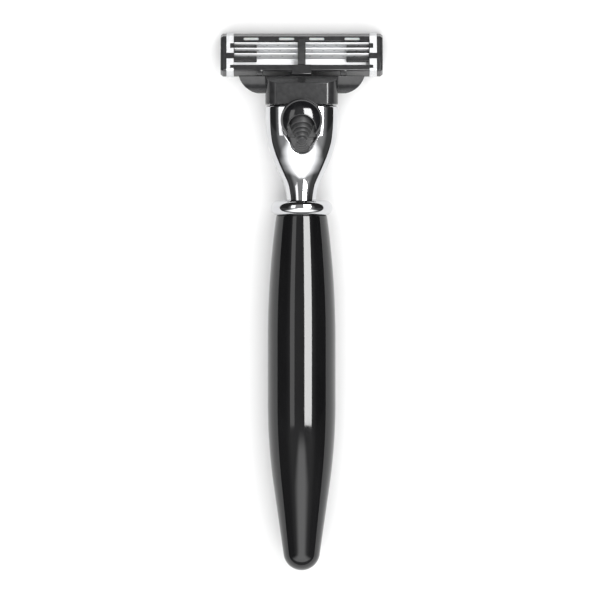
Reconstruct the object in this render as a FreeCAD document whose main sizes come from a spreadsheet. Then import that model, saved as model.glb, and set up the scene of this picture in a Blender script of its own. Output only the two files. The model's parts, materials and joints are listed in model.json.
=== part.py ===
"""Cartridge razor lying on its shaving side: a resin handle, a chrome neck and a three-blade cartridge.

Frame: +X across the cartridge, +Y from the handle's tail to the cartridge's cap, +Z up from the table.
The handle, the neck and the docking joint share one straight axis and are drawn in the handle frame: Y
along that axis from the tail, Z above it. The cartridge is drawn in its own unit frame, leaned over by
face_lean: its Y runs from guard to cap, its Z away from the shaved skin. HANDLE and UNIT place them.
"""
import FreeCAD, Part
import math
import os
import re

import Sketcher

V = FreeCAD.Vector
CROSS = V(1, 0, 0)
UP = V(0, 0, 1)

# Driving dimensions, in millimetres and degrees.
SIZES = {
    # the whole razor
    "length_all": 138.0, "face_lean": 20.0,
    # grip: places along the razor's axis from the tail
    "grip_long": 90.9, "grip_top_rad": 6.5, "belly_rad": 8.7, "belly_top": 59.0, "belly_low": 43.0,
    "low_curve": 150.0, "tail_slope": 8.2,
    # what joins the grip and the neck
    "insert_rad": 4.0, "insert_long": 11.0, "groove_deep": 0.4, "stud_rad": 2.0, "stud_play": 0.03,
    "stud_low": 82.0, "stud_long": 21.0, "stud_chamfer": 0.4, "collar_rad": 7.9, "collar_long": 3.9,
    "collar_flat": 6.1,
    # docking joint: places along the axis, heights above it
    "neck_end": 119.0, "block_end": 119.4, "cavity_wide": 8.3, "cavity_deep": 4.6, "cavity_step": 113.2,
    "inner_wide": 6.4, "inner_deep": 3.9, "mouth_floor": 1.5, "post_half": 3.9, "post_low": -2.9,
    "post_high": 1.7, "post_back": 109.6, "post_nose": 122.0, "nose_chamfer": 0.5, "socket_play": 0.15,
    "flange_wide": 8.2, "flange_deep": 4.5,
    # plunger and spring
    "tip_half": 1.7, "tip_low": -2.25, "tip_high": 0.05, "tip_front": 125.95, "tip_back": 121.6,
    "tip_chamfer": 0.5, "plunger_z": -1.1, "bore_rad": 1.6, "bore_back": 111.6, "stem_rad": 0.6,
    "coil_rad": 1.0, "wire_rad": 0.15, "coil_pitch": 1.05,
    # release button
    "dome_rad": 5.4, "dome_y": 115.3, "dome_low": 5.5, "dome_lip": 0.35, "dome_high": 8.6,
    "scoop_rad": 3.65, "scoop_y": 113.05, "scoop_floor": 4.2, "stem_half": 3.6, "stem_front": 115.9,
    "stem_back": 110.9, "plate_low": 2.25, "plate_high": 2.8, "tongue_high": 3.9, "fork_in": 4.5,
    "fork_out": 5.7, "fork_back": 114.4, "fork_low": -1.5, "fork_high": 1.5,
    # thumb pad: foot of its leaning axis
    "pad_y": 115.76, "pad_z": 4.4, "pad_rise": 33.0,
    # unit frame: where its corner lies, and the cartridge's pivot in it
    "unit_y": 57.23, "unit_z": 3.76, "pivot_v": 1.5, "pivot_w": 0.5,
    # cartridge body, in the unit frame
    "unit_high": 11.4, "unit_deep": 5.2, "cap_edge": 8.2, "guard_edge": 1.67, "inner_half": 17.4,
    "clip_out": 19.3, "cap_out": 20.8, "rim_long": 0.6, "clip_thick": 0.3, "rib_half": 1.0,
    "lug_in": 10.0, "lug_out": 11.5, "finger_low": 1.92, "finger_high": 3.4,
    # blades
    "blade_first": 2.8, "blade_pitch": 1.5, "blade_slope": 22.0, "blade_w": 0.35, "blade_long": 2.0,
    "blade_thick": 0.1, "steel_thick": 0.25, "blade_half": 18.3, "leg_half": 17.25, "leg_top": 4.7,
    # connecting member, around the pivot
    "shell_in": 5.25, "shell_out": 6.0, "shell_top": 101.0, "shell_low": 180.0, "bearing_play": 0.08,
    "cam_room_rad": 5.85, "cam_half": 2.5, "wing_half": 16.1, "block_half": 9.3, "block_high": 4.6,
}


def tail_radius():
    """Radius of the round tail that meets the tapering side of the grip in tangency."""
    slope = math.radians(SIZES["tail_slope"])
    side_y = SIZES["belly_low"] - SIZES["low_curve"] * math.sin(slope)
    side_r = SIZES["belly_rad"] - SIZES["low_curve"] * (1 - math.cos(slope))
    return (side_r * math.cos(slope) - side_y * math.sin(slope)) / (1 - math.sin(slope))


def pivot_place():
    """The cartridge's pivot in the handle frame: along the axis, and above it."""
    slope = math.radians(SIZES["face_lean"])
    v, w = SIZES["pivot_v"], SIZES["pivot_w"]
    along = SIZES["length_all"] / 2 + SIZES["unit_y"] + v * math.cos(slope) + w * math.sin(slope)
    return along, SIZES["unit_z"] - v * math.sin(slope) + w * math.cos(slope) - SIZES["belly_rad"]


SIZES["tail_rad"] = round(tail_radius(), 5)
SIZES["pivot_y"], SIZES["pivot_z"] = (round(number, 5) for number in pivot_place())

os.makedirs("parts", exist_ok=True)
doc = FreeCAD.newDocument("CartridgeRazor")
sheet = doc.addObject("Spreadsheet::Sheet", "Sizes")
for row, (alias, number) in enumerate(SIZES.items(), start=1):
    sheet.set(f"A{row}", alias)
    sheet.set(f"B{row}", str(number))
    sheet.setAlias(f"B{row}", alias)
doc.recompute()


def sheet_text(text):
    """An expression with its size names pointed at the sheet."""
    return re.sub(r"[a-z][a-z_]+", lambda m: f"Sizes.{m[0]}" if m[0] in SIZES else m[0], str(text))


def value(text):
    """What an expression comes to, in millimetres or degrees."""
    return float(sheet.evalExpression(sheet_text(text)))


def lean(degrees, base):
    """A placement that turns about X and then moves to base."""
    return FreeCAD.Placement(base, FreeCAD.Rotation(CROSS, degrees))


HANDLE = lean(0, V(0, -value("length_all") / 2, value("belly_rad")))
UNIT = lean(-value("face_lean"), V(0, value("unit_y"), value("unit_z")))


# ---------------------------------------------------------------- drawing helpers

def origin_plane(body, role):
    return next(feature for feature in body.Origin.OriginFeatures if feature.Role == role)


def fix_point(sketch, index, end, x, y):
    """Tie one point of a sketch to expressions for its two coordinates."""
    for kind, text in (("DistanceX", x), ("DistanceY", y)):
        number = sketch.addConstraint(Sketcher.Constraint(kind, -1, 1, index, end, value(text)))
        if isinstance(text, str):
            sketch.setExpression(f"Constraints[{number}]", sheet_text(text))


def outline_sketch(body, name, role, outline, lift="0"):
    """A closed outline. A corner is (x, y); ("via", x, y) bends the edge between its two neighbours."""
    sketch = body.newObject("Sketcher::SketchObject", name)
    sketch.AttachmentSupport = [(origin_plane(body, role), "")]
    sketch.MapMode = "FlatFace"
    sketch.setExpression("AttachmentOffset.Base.z", sheet_text(lift))
    corners = [step for step in outline if step[0] != "via"]
    spots = [V(value(x), value(y), 0) for x, y in corners]
    bends = {}
    passed = -1
    for step in outline:
        if step[0] == "via":
            bends[passed] = step[1:]
        else:
            passed += 1
    ends = []
    for number, start in enumerate(spots):
        end = spots[(number + 1) % len(spots)]
        first = 1
        if number in bends:
            middle = V(value(bends[number][0]), value(bends[number][1]), 0)
            # A sketch holds every arc anticlockwise, so a clockwise one is entered from its far end.
            if (middle - start).cross(end - middle).z < 0:
                start, end, first = end, start, 2
            sketch.addGeometry(Part.Arc(start, middle, end), False)
        else:
            sketch.addGeometry(Part.LineSegment(start, end), False)
        ends.append(first)
    for number in range(len(spots)):
        after = (number + 1) % len(spots)
        sketch.addConstraint(Sketcher.Constraint("Coincident", number, 3 - ends[number], after, ends[after]))
    for number, (x, y) in enumerate(corners):
        fix_point(sketch, number, ends[number], x, y)
    for number, (x, y) in bends.items():
        helper = sketch.addGeometry(Part.Point(V(value(x), value(y), 0)), True)
        fix_point(sketch, helper, 1, x, y)
        sketch.addConstraint(Sketcher.Constraint("PointOnObject", helper, 1, number))
    return sketch


def new_body(name, place=None):
    body = doc.addObject("PartDesign::Body", name)
    body.Label = name
    if place is not None:
        body.Placement = place
    return body


def bar(name, outline, low, high, place=None):
    """An outline in the YZ plane, drawn out along X from low to high."""
    body = new_body(name, place)
    sketch = outline_sketch(body, f"{name}_outline", "YZ_Plane", outline, low)
    pad = body.newObject("PartDesign::Pad", f"{name}_pad")
    pad.Profile = sketch
    pad.setExpression("Length", sheet_text(f"({high}) - ({low})"))
    return body


def column(name, outline, low, high):
    """An outline in the XY plane, drawn up along Z from low to high."""
    body = new_body(name)
    sketch = outline_sketch(body, f"{name}_outline", "XY_Plane", outline, low)
    pad = body.newObject("PartDesign::Pad", f"{name}_pad")
    pad.Profile = sketch
    pad.setExpression("Length", sheet_text(f"({high}) - ({low})"))
    return body


def turned(name, outline, place=None, role="XY_Plane"):
    """An outline of radius and height, turned about the sketch's upright axis."""
    body = new_body(name, place)
    sketch = outline_sketch(body, f"{name}_outline", role, outline)
    turn = body.newObject("PartDesign::Revolution", f"{name}_turn")
    turn.Profile = sketch
    turn.ReferenceAxis = (sketch, ["V_Axis"])
    turn.Angle = 360
    return body


def box(name, x, y, z):
    """A block between three pairs of expressions."""
    block = doc.addObject("Part::Box", name)
    for side, (low, high) in zip(("Length", "Width", "Height"), (x, y, z)):
        block.setExpression(side, sheet_text(f"({high}) - ({low})"))
    for letter, (low, _) in zip("xyz", (x, y, z)):
        block.setExpression(f"Placement.Base.{letter}", sheet_text(low))
    return block


def rod(name, radius, low, high, height="0"):
    """A round rod along Y from low to high, at a height above the razor's axis."""
    part = doc.addObject("Part::Cylinder", name)
    part.setExpression("Radius", sheet_text(radius))
    part.setExpression("Height", sheet_text(f"({high}) - ({low})"))
    part.Placement = FreeCAD.Placement(V(0, value(low), value(height)), FreeCAD.Rotation(CROSS, -90))
    return part


def oval(name, half_x, half_z, low, high):
    """An elliptical bar along Y around the razor's axis."""
    ring = doc.addObject("Part::Ellipse", f"{name}_ring")
    ring.setExpression("MajorRadius", sheet_text(half_x))
    ring.setExpression("MinorRadius", sheet_text(half_z))
    ring.Placement = FreeCAD.Placement(V(0, value(low), 0), FreeCAD.Rotation(CROSS, 90))
    drawn = doc.addObject("Part::Extrusion", name)
    drawn.Base = ring
    drawn.DirMode = "Custom"
    drawn.Dir = V(0, 1, 0)
    drawn.LengthFwd = value(f"({high}) - ({low})")
    drawn.Solid = True
    return drawn


def joined(name, pieces):
    whole = doc.addObject("Part::MultiFuse", name)
    whole.Shapes = pieces
    whole.Refine = True
    return whole


def cut(name, base, tools):
    tool = tools[0] if len(tools) == 1 else joined(f"{name}_tools", tools)
    left = doc.addObject("Part::Cut", name)
    left.Base = base
    left.Tool = tool
    left.Refine = True
    return left


def common(name, base, tool):
    shared = doc.addObject("Part::Common", name)
    shared.Base = base
    shared.Tool = tool
    return shared


def finished(piece, name, place=None):
    """Name a finished sub-part and put it in its place."""
    piece.Label = name
    if place is not None:
        piece.Placement = place
    NODES.append(piece)
    return piece


def both_sides(low, high):
    """The two spans that mirror each other across the middle plane."""
    return (("right", low, high), ("left", f"-({high})", f"-({low})"))


def around(centre_y, centre_z, radius, degrees):
    """A point at a radius and an angle around a centre."""
    return (f"{centre_y} + ({radius}) * cos({degrees})", f"{centre_z} + ({radius}) * sin({degrees})")


def on_pivot(radius, degrees):
    """A point around the cartridge's pivot, in the handle frame."""
    return around("pivot_y", "pivot_z", radius, degrees)


def on_unit_pivot(radius, degrees):
    """A point around the cartridge's pivot, in the unit frame."""
    return around("pivot_v", "pivot_w", radius, degrees)


def pivot_drum(name, radius, low, high):
    """A drum around the pivot axis, in the handle frame."""
    drum = doc.addObject("Part::Cylinder", name)
    drum.setExpression("Radius", sheet_text(radius))
    drum.setExpression("Height", sheet_text(f"({high}) - ({low})"))
    drum.Placement = FreeCAD.Placement(V(value(low), value("pivot_y"), value("pivot_z")),
                                       FreeCAD.Rotation(V(0, 1, 0), 90))
    return drum


NODES = []


# ---------------------------------------------------------------- handle

def make_grip():
    """The long resin grip: a swelling barrel with a round tail and a blind bore for the insert."""
    taper = "(belly_rad - grip_top_rad)"
    top_curve = f"((grip_long - belly_top)^2 + {taper}^2) / (2 * {taper})"
    top_mid = "(grip_long + belly_top) / 2"
    top_out = f"belly_rad - {top_curve} + sqrt(({top_curve})^2 - ({top_mid} - belly_top)^2)"
    outline = [
        ("0", "0"),
        ("via", "tail_rad * sin(48)", "tail_rad * (1 - cos(48))"),
        ("tail_rad * cos(tail_slope)", "tail_rad * (1 - sin(tail_slope))"),
        ("belly_rad - low_curve * (1 - cos(tail_slope))", "belly_low - low_curve * sin(tail_slope)"),
        ("via", "belly_rad - low_curve * (1 - cos(tail_slope / 2))",
         "belly_low - low_curve * sin(tail_slope / 2)"),
        ("belly_rad", "belly_low"),
        ("belly_rad", "belly_top"),
        ("via", top_out, top_mid),
        ("grip_top_rad", "grip_long"),
        ("insert_rad", "grip_long"),
        ("insert_rad", "grip_long - insert_long"),
        ("0", "grip_long - insert_long - insert_rad / 2"),
    ]
    finished(turned("handle_grip", outline), "handle_grip", HANDLE)


def make_insert():
    """Brass insert pressed into the grip, with two grooves that hold the glue."""
    foot = "grip_long - insert_long"
    outline = [("stud_rad + stud_play", foot), ("insert_rad", foot)]
    for groove in (3, 6.5):
        outline += [("insert_rad", f"{foot} + {groove}"), ("insert_rad - groove_deep", f"{foot} + {groove}"),
                    ("insert_rad - groove_deep", f"{foot} + {groove + 1}"),
                    ("insert_rad", f"{foot} + {groove + 1}")]
    outline += [("insert_rad", "grip_long"), ("stud_rad + stud_play", "grip_long")]
    finished(turned("grip_insert", outline), "grip_insert", HANDLE)


def make_stud():
    """Headless steel stud that screws the neck and the grip together through the collar."""
    top = "stud_low + stud_long"
    outline = [
        ("0", "stud_low"), ("stud_rad - stud_chamfer", "stud_low"), ("stud_rad", "stud_low + stud_chamfer"),
        ("stud_rad", f"{top} - stud_chamfer"), ("stud_rad - stud_chamfer", top), ("0", top),
    ]
    finished(turned("neck_stud", outline), "neck_stud", HANDLE)


def make_collar():
    """Chrome ring with a full round edge, clamped between the neck and the grip."""
    outline = [
        ("stud_rad + stud_play", "grip_long"), ("collar_flat", "grip_long"),
        ("via", "collar_rad", "grip_long + collar_long / 2"),
        ("collar_flat", "grip_long + collar_long"), ("stud_rad + stud_play", "grip_long + collar_long"),
    ]
    finished(turned("collar_ring", outline), "collar_ring", HANDLE)


# ---------------------------------------------------------------- neck

NECK_SECTIONS = (
    # along the axis from the tail, half width, half depth
    (94.8, 3.80, 3.75), (96.8, 4.05, 3.80), (98.8, 4.50, 3.88), (101.0, 5.50, 4.02), (103.5, 6.65, 4.36),
    (106.0, 7.65, 4.75), (109.0, 8.58, 5.17), (111.5, 9.02, 5.42), (114.5, 9.25, 5.52), (119.0, 9.30, 5.55),
)
MOUTH_SIDE = (("3.9", "neck_end + 1"), ("3.9", "116.5"), ("4.96", "113.6"), ("4.96", "112.2"),
              ("3.33", "109.6"), ("1.75", "107.0"))


def make_neck():
    """Chromed casting that swells from a round neck to the wide hollow head."""
    rings = []
    for number, (along, half_x, half_z) in enumerate(NECK_SECTIONS):
        ring = doc.addObject("Part::Ellipse", f"neck_ring_{number}")
        ring.MajorRadius = half_x
        ring.MinorRadius = half_z
        ring.Placement = lean(90, V(0, along, 0))
        rings.append(ring)
    skin = doc.addObject("Part::Loft", "neck_skin")
    skin.Sections = rings
    skin.Solid = True
    left = [(f"-({x})", y) for x, y in MOUTH_SIDE]
    mouth = column("neck_mouth", list(MOUTH_SIDE) + [("via", "0", "106.5")] + left[::-1], "mouth_floor", "9")
    thread = rod("neck_thread", "stud_rad + stud_play", "grip_long", "stud_low + stud_long + 0.5")
    hollow = [
        oval("neck_cavity", "cavity_wide", "cavity_deep", "cavity_step", "neck_end + 1"),
        oval("neck_cavity_end", "inner_wide", "inner_deep", "post_back - 0.2", "cavity_step + 1"),
        mouth, thread,
    ]
    finished(cut("neck_casting", skin, hollow), "neck_casting", HANDLE)


# ---------------------------------------------------------------- docking joint

def make_post():
    """Black docking post: a flange on the neck's end and a box that guides the plunger."""
    nose = [
        ("post_back", "post_low"), ("post_nose - nose_chamfer", "post_low"),
        ("post_nose", "post_low + nose_chamfer"), ("post_nose", "post_high - nose_chamfer"),
        ("post_nose - nose_chamfer", "post_high"), ("post_back", "post_high"),
    ]
    tools = [
        rod("post_bore", "bore_rad", "bore_back", "tip_back - 2.9", "plunger_z"),
        box("post_slot", ("-tip_half - 0.1", "tip_half + 0.1"), ("tip_back - 3", "post_nose + 1"),
            ("tip_low - 0.1", "tip_high + 0.1")),
    ]
    for side, low, high in both_sides("fork_in - 0.25", "fork_out + 0.25"):
        tools.append(box(f"post_notch_{side}", (low, high), ("neck_end - 1", "block_end + 1"),
                         ("fork_low - 0.2", "fork_high + 0.2")))
    solid = joined("post_solid", [
        bar("post_box", nose, "-post_half", "post_half"),
        oval("post_flange", "flange_wide", "flange_deep", "neck_end + 0.02", "block_end - 0.12"),
    ])
    finished(cut("docking_post", solid, tools), "docking_post", HANDLE)


def make_plunger():
    """Spring-loaded follower whose blunt tip holds the cartridge's cam back."""
    tip = [
        ("tip_back", "tip_low"), ("tip_front - tip_chamfer", "tip_low"),
        ("tip_front", "tip_low + tip_chamfer"),
        ("tip_front", "tip_high - tip_chamfer"), ("tip_front - tip_chamfer", "tip_high"),
        ("tip_back", "tip_high"),
    ]
    pieces = [bar("plunger_tip", tip, "-tip_half", "tip_half"),
              rod("plunger_stem", "stem_rad", "bore_back + 3.2", "tip_back + 0.5", "plunger_z")]
    finished(joined("plunger", pieces), "plunger", HANDLE)


def make_spring():
    """Coil spring between the bore's end and the back of the plunger's tip."""
    place = HANDLE.multiply(lean(0, V(0, 0, value("plunger_z"))))
    body = new_body("plunger_spring", place)
    wire = body.newObject("Sketcher::SketchObject", "spring_wire")
    wire.AttachmentSupport = [(origin_plane(body, "XY_Plane"), "")]
    wire.MapMode = "FlatFace"
    start = "bore_back + wire_rad + 0.03"
    wire.addGeometry(Part.Circle(V(value("coil_rad"), value(start), 0), UP, value("wire_rad")), False)
    fix_point(wire, 0, 3, "coil_rad", start)
    size = wire.addConstraint(Sketcher.Constraint("Radius", 0, value("wire_rad")))
    wire.setExpression(f"Constraints[{size}]", sheet_text("wire_rad"))
    coil = body.newObject("PartDesign::AdditiveHelix", "spring_coil")
    coil.Profile = wire
    coil.ReferenceAxis = (wire, ["V_Axis"])
    coil.Mode = 0
    coil.setExpression("Pitch", sheet_text("coil_pitch"))
    coil.setExpression("Height", sheet_text("tip_back - bore_back - 2 * wire_rad - 0.06"))
    finished(body, "plunger_spring")


def scoop_outline(play):
    """Plan of the dome's scoop: round under the hood and open towards the tail."""
    half, foot = f"(scoop_rad - {play})", "dome_y - dome_rad - 1"
    return [(half, foot), (half, "scoop_y"), ("via", "0", f"scoop_y + {half}"), (f"-{half}", "scoop_y"),
            (f"-{half}", foot)]


def make_button():
    """Release button: a hooded dome, a stem in the neck's mouth and a fork that pushes the cartridge."""
    crown = "dome_low + dome_lip"
    dome = turned("button_dome", [
        ("0", "dome_low"), ("dome_rad", "dome_low"), ("dome_rad", crown),
        ("via", "dome_rad * cos(40)", f"{crown} + (dome_high - {crown.replace('+', '-')}) * sin(40)"),
        ("0", "dome_high"),
    ], lean(0, V(0, value("dome_y"), 0)), "XZ_Plane")
    scoop = column("button_scoop", scoop_outline(0), "scoop_floor", "dome_high + 1")
    stem = box("button_stem", ("-stem_half", "stem_half"), ("stem_back", "stem_front"),
               ("plate_low", "dome_low + 0.3"))
    tongue = column("button_tongue", [
        ("3.5", "stem_back + 0.5"), ("-3.5", "stem_back + 0.5"), ("-3.1", "109.9"), ("-1.5", "107.4"),
        ("via", "0", "106.95"), ("1.5", "107.4"), ("3.1", "109.9"),
    ], "plate_low", "tongue_high")
    plate = box("button_plate", ("-fork_out", "fork_out"), ("fork_back - 0.7", "stem_front"),
                ("plate_low", "plate_high"))
    pieces = [cut("button_hood", joined("button_head", [dome, stem]), [scoop]), tongue, plate]
    for side, low, high in both_sides("fork_in", "fork_out"):
        pieces.append(box(f"button_upright_{side}", (low, high), ("fork_back", "stem_front"),
                          ("fork_low", "plate_high")))
        pieces.append(box(f"button_finger_{side}", (low, high), ("fork_back", "block_end - 0.15"),
                          ("fork_low", "fork_high")))
    finished(joined("release_button", pieces), "release_button", HANDLE)


PAD_DISCS = ((3.0, 2.9), (4.25, 2.5), (5.2, 2.1), (6.3, 1.6), (6.95, 1.15))


def make_thumb_pad():
    """Soft ribbed pad: discs that step down along an axis that rises towards the tail, on a ramp."""
    outline = [("0", "0")]
    height = 0.0
    for end, radius in PAD_DISCS:
        outline += [(str(radius), str(height)), (str(radius), str(end))]
        height = end
    outline.append(("0", str(height)))
    cone = turned("pad_cone", outline, lean(180 - value("pad_rise"), V(0, value("pad_y"), value("pad_z"))))
    reach, rise = f"{height} * cos(pad_rise)", f"{height} * sin(pad_rise)"
    ramp = bar("pad_ramp", [
        ("pad_y", "scoop_floor - 1"), ("pad_y", "pad_z"), (f"pad_y - {reach}", f"pad_z + {rise}"),
        (f"pad_y - {reach}", "scoop_floor - 1"),
    ], f"-{PAD_DISCS[-1][1]}", f"{PAD_DISCS[-1][1]}")
    room = column("pad_room", scoop_outline(0.05), "scoop_floor + 0.01", "dome_high + 1")
    finished(common("thumb_pad", joined("pad_whole", [cone, ramp]), room), "thumb_pad", HANDLE)


# ---------------------------------------------------------------- connecting member

WING_SIDE = (("11.2", "122.3"), ("via", "14.4", "123.8"), ("wing_half", "126.6"), ("wing_half", "131"))


def make_interconnect():
    """Connecting member: a curved shell about the pivot, with wings, on a block with the docking socket."""
    middle = "(shell_top + shell_low) / 2"
    shell = bar("wing_shell", [
        on_pivot("shell_out", "shell_top"), ("via", *on_pivot("shell_out", middle)),
        on_pivot("shell_out", "shell_low"), on_pivot("shell_in", "shell_low"),
        ("via", *on_pivot("shell_in", middle)), on_pivot("shell_in", "shell_top"),
    ], "-wing_half - 0.2", "wing_half + 0.2")
    left = [(*step[:-2], f"-({step[-2]})", step[-1]) for step in WING_SIDE]
    plan = column("wing_plan", list(WING_SIDE) + left[::-1], "pivot_z - 1", "pivot_z + 8")
    side = bar("block_side", [
        ("block_end", "-3.6"), ("121.0", "-5.6"), ("122.6", "-5.6"), ("125.3", "-4.2"), ("125.6", "0.2"),
        on_pivot("shell_out", "shell_top"), ("124.8", "block_high"), ("block_end", "block_high"),
    ], "-block_half", "block_half")
    end_view = new_body("block_end_view")
    pad = end_view.newObject("PartDesign::Pad", "block_end_pad")
    pad.Profile = outline_sketch(end_view, "block_end_outline", "XZ_Plane", [
        ("-block_half + 1", "-7"), ("block_half - 1", "-7"), ("block_half", "-5.2"), ("block_half", "1.2"),
        ("via", "block_half - 0.9", "3.4"), ("block_half - 2.9", "block_high"),
        ("-block_half + 2.9", "block_high"), ("via", "-block_half + 0.9", "3.4"), ("-block_half", "1.2"),
        ("-block_half", "-5.2"),
    ], "-pivot_y")
    pad.Length = 14
    rooms = [
        pivot_drum("bearing_room", "shell_in", "-wing_half - 1", "wing_half + 1"),
        pivot_drum("cam_room", "cam_room_rad", "-cam_half - 0.3", "cam_half + 0.3"),
        box("socket", ("-post_half - socket_play", "post_half + socket_play"),
            ("block_end - 1", "post_nose + 0.2"), ("post_low - socket_play", "post_high + socket_play")),
        box("plunger_slot", ("-tip_half - 0.15", "tip_half + 0.15"), ("post_nose - 1", "pivot_y - 1.5"),
            ("tip_low - 0.15", "tip_high + 0.15")),
    ]
    whole = joined("member", [common("wings", shell, plan), common("block", side, end_view)])
    finished(cut("interconnect", whole, rooms), "interconnect", HANDLE)


# ---------------------------------------------------------------- cartridge

BODY_OUTLINE = [
    ("0", "1.1"), ("0.4", "0.7"), ("2.4", "0.7"), ("2.7", "0.4"), ("unit_high - 0.5", "0.4"),
    ("unit_high", "0.9"), ("unit_high", "2.3"), ("unit_high - 1.9", "unit_deep"), ("0.3", "unit_deep"),
    ("0", "unit_deep - 0.3"),
]


SLOT_MIDDLES = (-12.95, -3.87, 3.87, 12.95)
SLOT_V, SLOT_REACH = 8.85, 1.6


def slot_column(name, middle, half_high, low, high):
    """A stadium-shaped column through the cap bar."""
    left, right = middle - SLOT_REACH, middle + SLOT_REACH
    low_v, high_v = SLOT_V - half_high, SLOT_V + half_high
    return column(name, [
        (str(left), str(low_v)), (str(right), str(low_v)), ("via", str(right + half_high), str(SLOT_V)),
        (str(right), str(high_v)), (str(left), str(high_v)), ("via", str(left - half_high), str(SLOT_V)),
    ], low, high)


def make_housing():
    """Cartridge frame: cap and guard bars, centre rib, end caps, spring fingers, cam and bearing lugs."""
    pieces = [bar("frame_bars", BODY_OUTLINE, "-inner_half", "inner_half")]
    inset = "clip_thick + 0.02"
    waist = [
        (f"{inset} - 0.05", f"1.0 + {inset} / 2"), ("1.0", inset), ("unit_high - 0.55", inset),
        (f"unit_high + 0.2 - {inset}", "0.95"), (f"unit_high + 0.2 - {inset}", "2.3"),
        ("unit_high - 2.0", "unit_deep"), ("0.5", "unit_deep"), (f"{inset} - 0.05", "unit_deep - 0.3"),
    ]
    for side, low, high in both_sides("inner_half - 0.1", "clip_out + 0.1"):
        pieces.append(bar(f"frame_waist_{side}", waist, low, high))
    for side, low, high in both_sides("clip_out", "cap_out - rim_long"):
        pieces.append(bar(f"end_cap_{side}", BODY_OUTLINE, low, high))
        rim = new_body(f"end_rim_{side}")
        start = high if side == "right" else low
        drawn = outline_sketch(rim, f"end_rim_outline_{side}", "YZ_Plane", BODY_OUTLINE, start)
        pad = rim.newObject("PartDesign::Pad", f"end_rim_pad_{side}")
        pad.Profile = drawn
        pad.setExpression("Length", sheet_text("rim_long"))
        pad.TaperAngle = -40
        pad.Reversed = side == "left"
        pieces.append(rim)
    pieces.append(bar("centre_rib", [
        ("guard_edge - 0.2", "5.1"), ("cap_edge + 0.4", "5.1"), ("cap_edge + 0.4", "5.6"),
        ("guard_edge + 1.5", "5.6"), ("guard_edge - 0.2", "unit_deep"),
    ], "-rib_half", "rib_half"))
    pieces.append(bar("cam_boss", [
        ("-1.2", "1.6"), ("0.5", "1.2"), ("guard_edge", "2.0"), ("guard_edge", "5.3"), ("-0.8", "5.3"),
        ("-1.2", "4.9"),
    ], "-cam_half", "cam_half"))
    for side, low, high in both_sides("lug_in", "lug_out"):
        pieces.append(bar(f"bearing_lug_{side}", [
            ("0.2", "0.9"), on_unit_pivot("shell_in - bearing_play", "178"),
            ("via", *on_unit_pivot("shell_in - bearing_play", "140")),
            on_unit_pivot("shell_in - bearing_play", "106"),
            ("0.3", "4.9"),
        ], low, high))
    holes = []
    window = [
        ("2.35", "-1"), ("2.35", "2.4"), ("guard_edge", "3.4"), ("guard_edge", "5.05"),
        ("cap_edge", "5.05"), ("cap_edge", "-1"),
    ]
    holes.append(bar("blade_room", window, "-inner_half", "inner_half"))
    for side, low, high in both_sides("rib_half", "inner_half"):
        holes.append(box(f"window_back_{side}", (low, high), ("guard_edge", "cap_edge"), ("5.0", "6.0")))
    for side, low, high in both_sides("inner_half - 0.1", "blade_half + 0.15"):
        holes.append(box(f"blade_end_room_{side}", (low, high), ("2.35", "cap_edge"), ("-1", "2.15")))
    holes.append(box("strip_room", ("-inner_half + 0.2", "inner_half - 0.2"), ("8.7", "10.95"),
                     ("-1", "0.95")))
    for number, middle in enumerate(SLOT_MIDDLES):
        holes.append(slot_column(f"cap_slot_{number}", middle, 0.4, "0.9", "7"))
    frame = cut("frame_open", joined("frame_solid", pieces), holes)
    fingers = []
    for blade in range(3):
        edge = f"blade_first + {blade} * blade_pitch"
        for side, low, high in both_sides("lug_out", "inner_half + 0.2"):
            fingers.append(box(f"finger_{blade}_{side}", (low, high), (f"{edge} + 0.85", f"{edge} + 1.82"),
                               ("finger_low", "finger_high")))
    finished(joined("blade_housing", [frame] + fingers), "blade_housing", UNIT)


def make_strip():
    """Lubricating strip along the cap, with the four studs that key it into the cap's slots."""
    pieces = [bar("strip_face", [
        ("8.75", "0.15"), ("9.0", "0.06"), ("10.7", "0.06"), ("10.9", "0.2"), ("10.9", "0.94"),
        ("8.75", "0.94"),
    ], "-inner_half + 0.25", "inner_half - 0.25")]
    pieces += [slot_column(f"strip_stud_{number}", middle, 0.38, "0.92", "4.95")
               for number, middle in enumerate(SLOT_MIDDLES)]
    finished(joined("lubricating_strip", pieces), "lubricating_strip", UNIT)


def make_guard_fins():
    """Soft guard: a thin strip with a row of fins ahead of the first blade."""
    outline = [("0.45", "0.69"), ("0.45", "0.45")]
    fins, first, step = 5, 0.55, 0.36
    for fin in range(fins):
        foot = first + fin * step
        outline += [(f"{foot:.2f}", "0.45"), (f"{foot + 0.04:.2f}", "0.15"),
                    (f"{foot + 0.14:.2f}", "0.15"), (f"{foot + 0.2:.2f}", "0.45")]
    outline += [("2.33", "0.45"), ("2.33", "0.69")]
    finished(bar("guard_fins", outline, "-inner_half + 0.25", "inner_half - 0.25"), "guard_fins", UNIT)


def slope_point(edge, along, out):
    """A point on a blade's plane: along from its edge, and out from its shaving side."""
    return (f"{edge} + ({along}) * cos(blade_slope) - ({out}) * sin(blade_slope)",
            f"blade_w + ({along}) * sin(blade_slope) + ({out}) * cos(blade_slope)")


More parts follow.
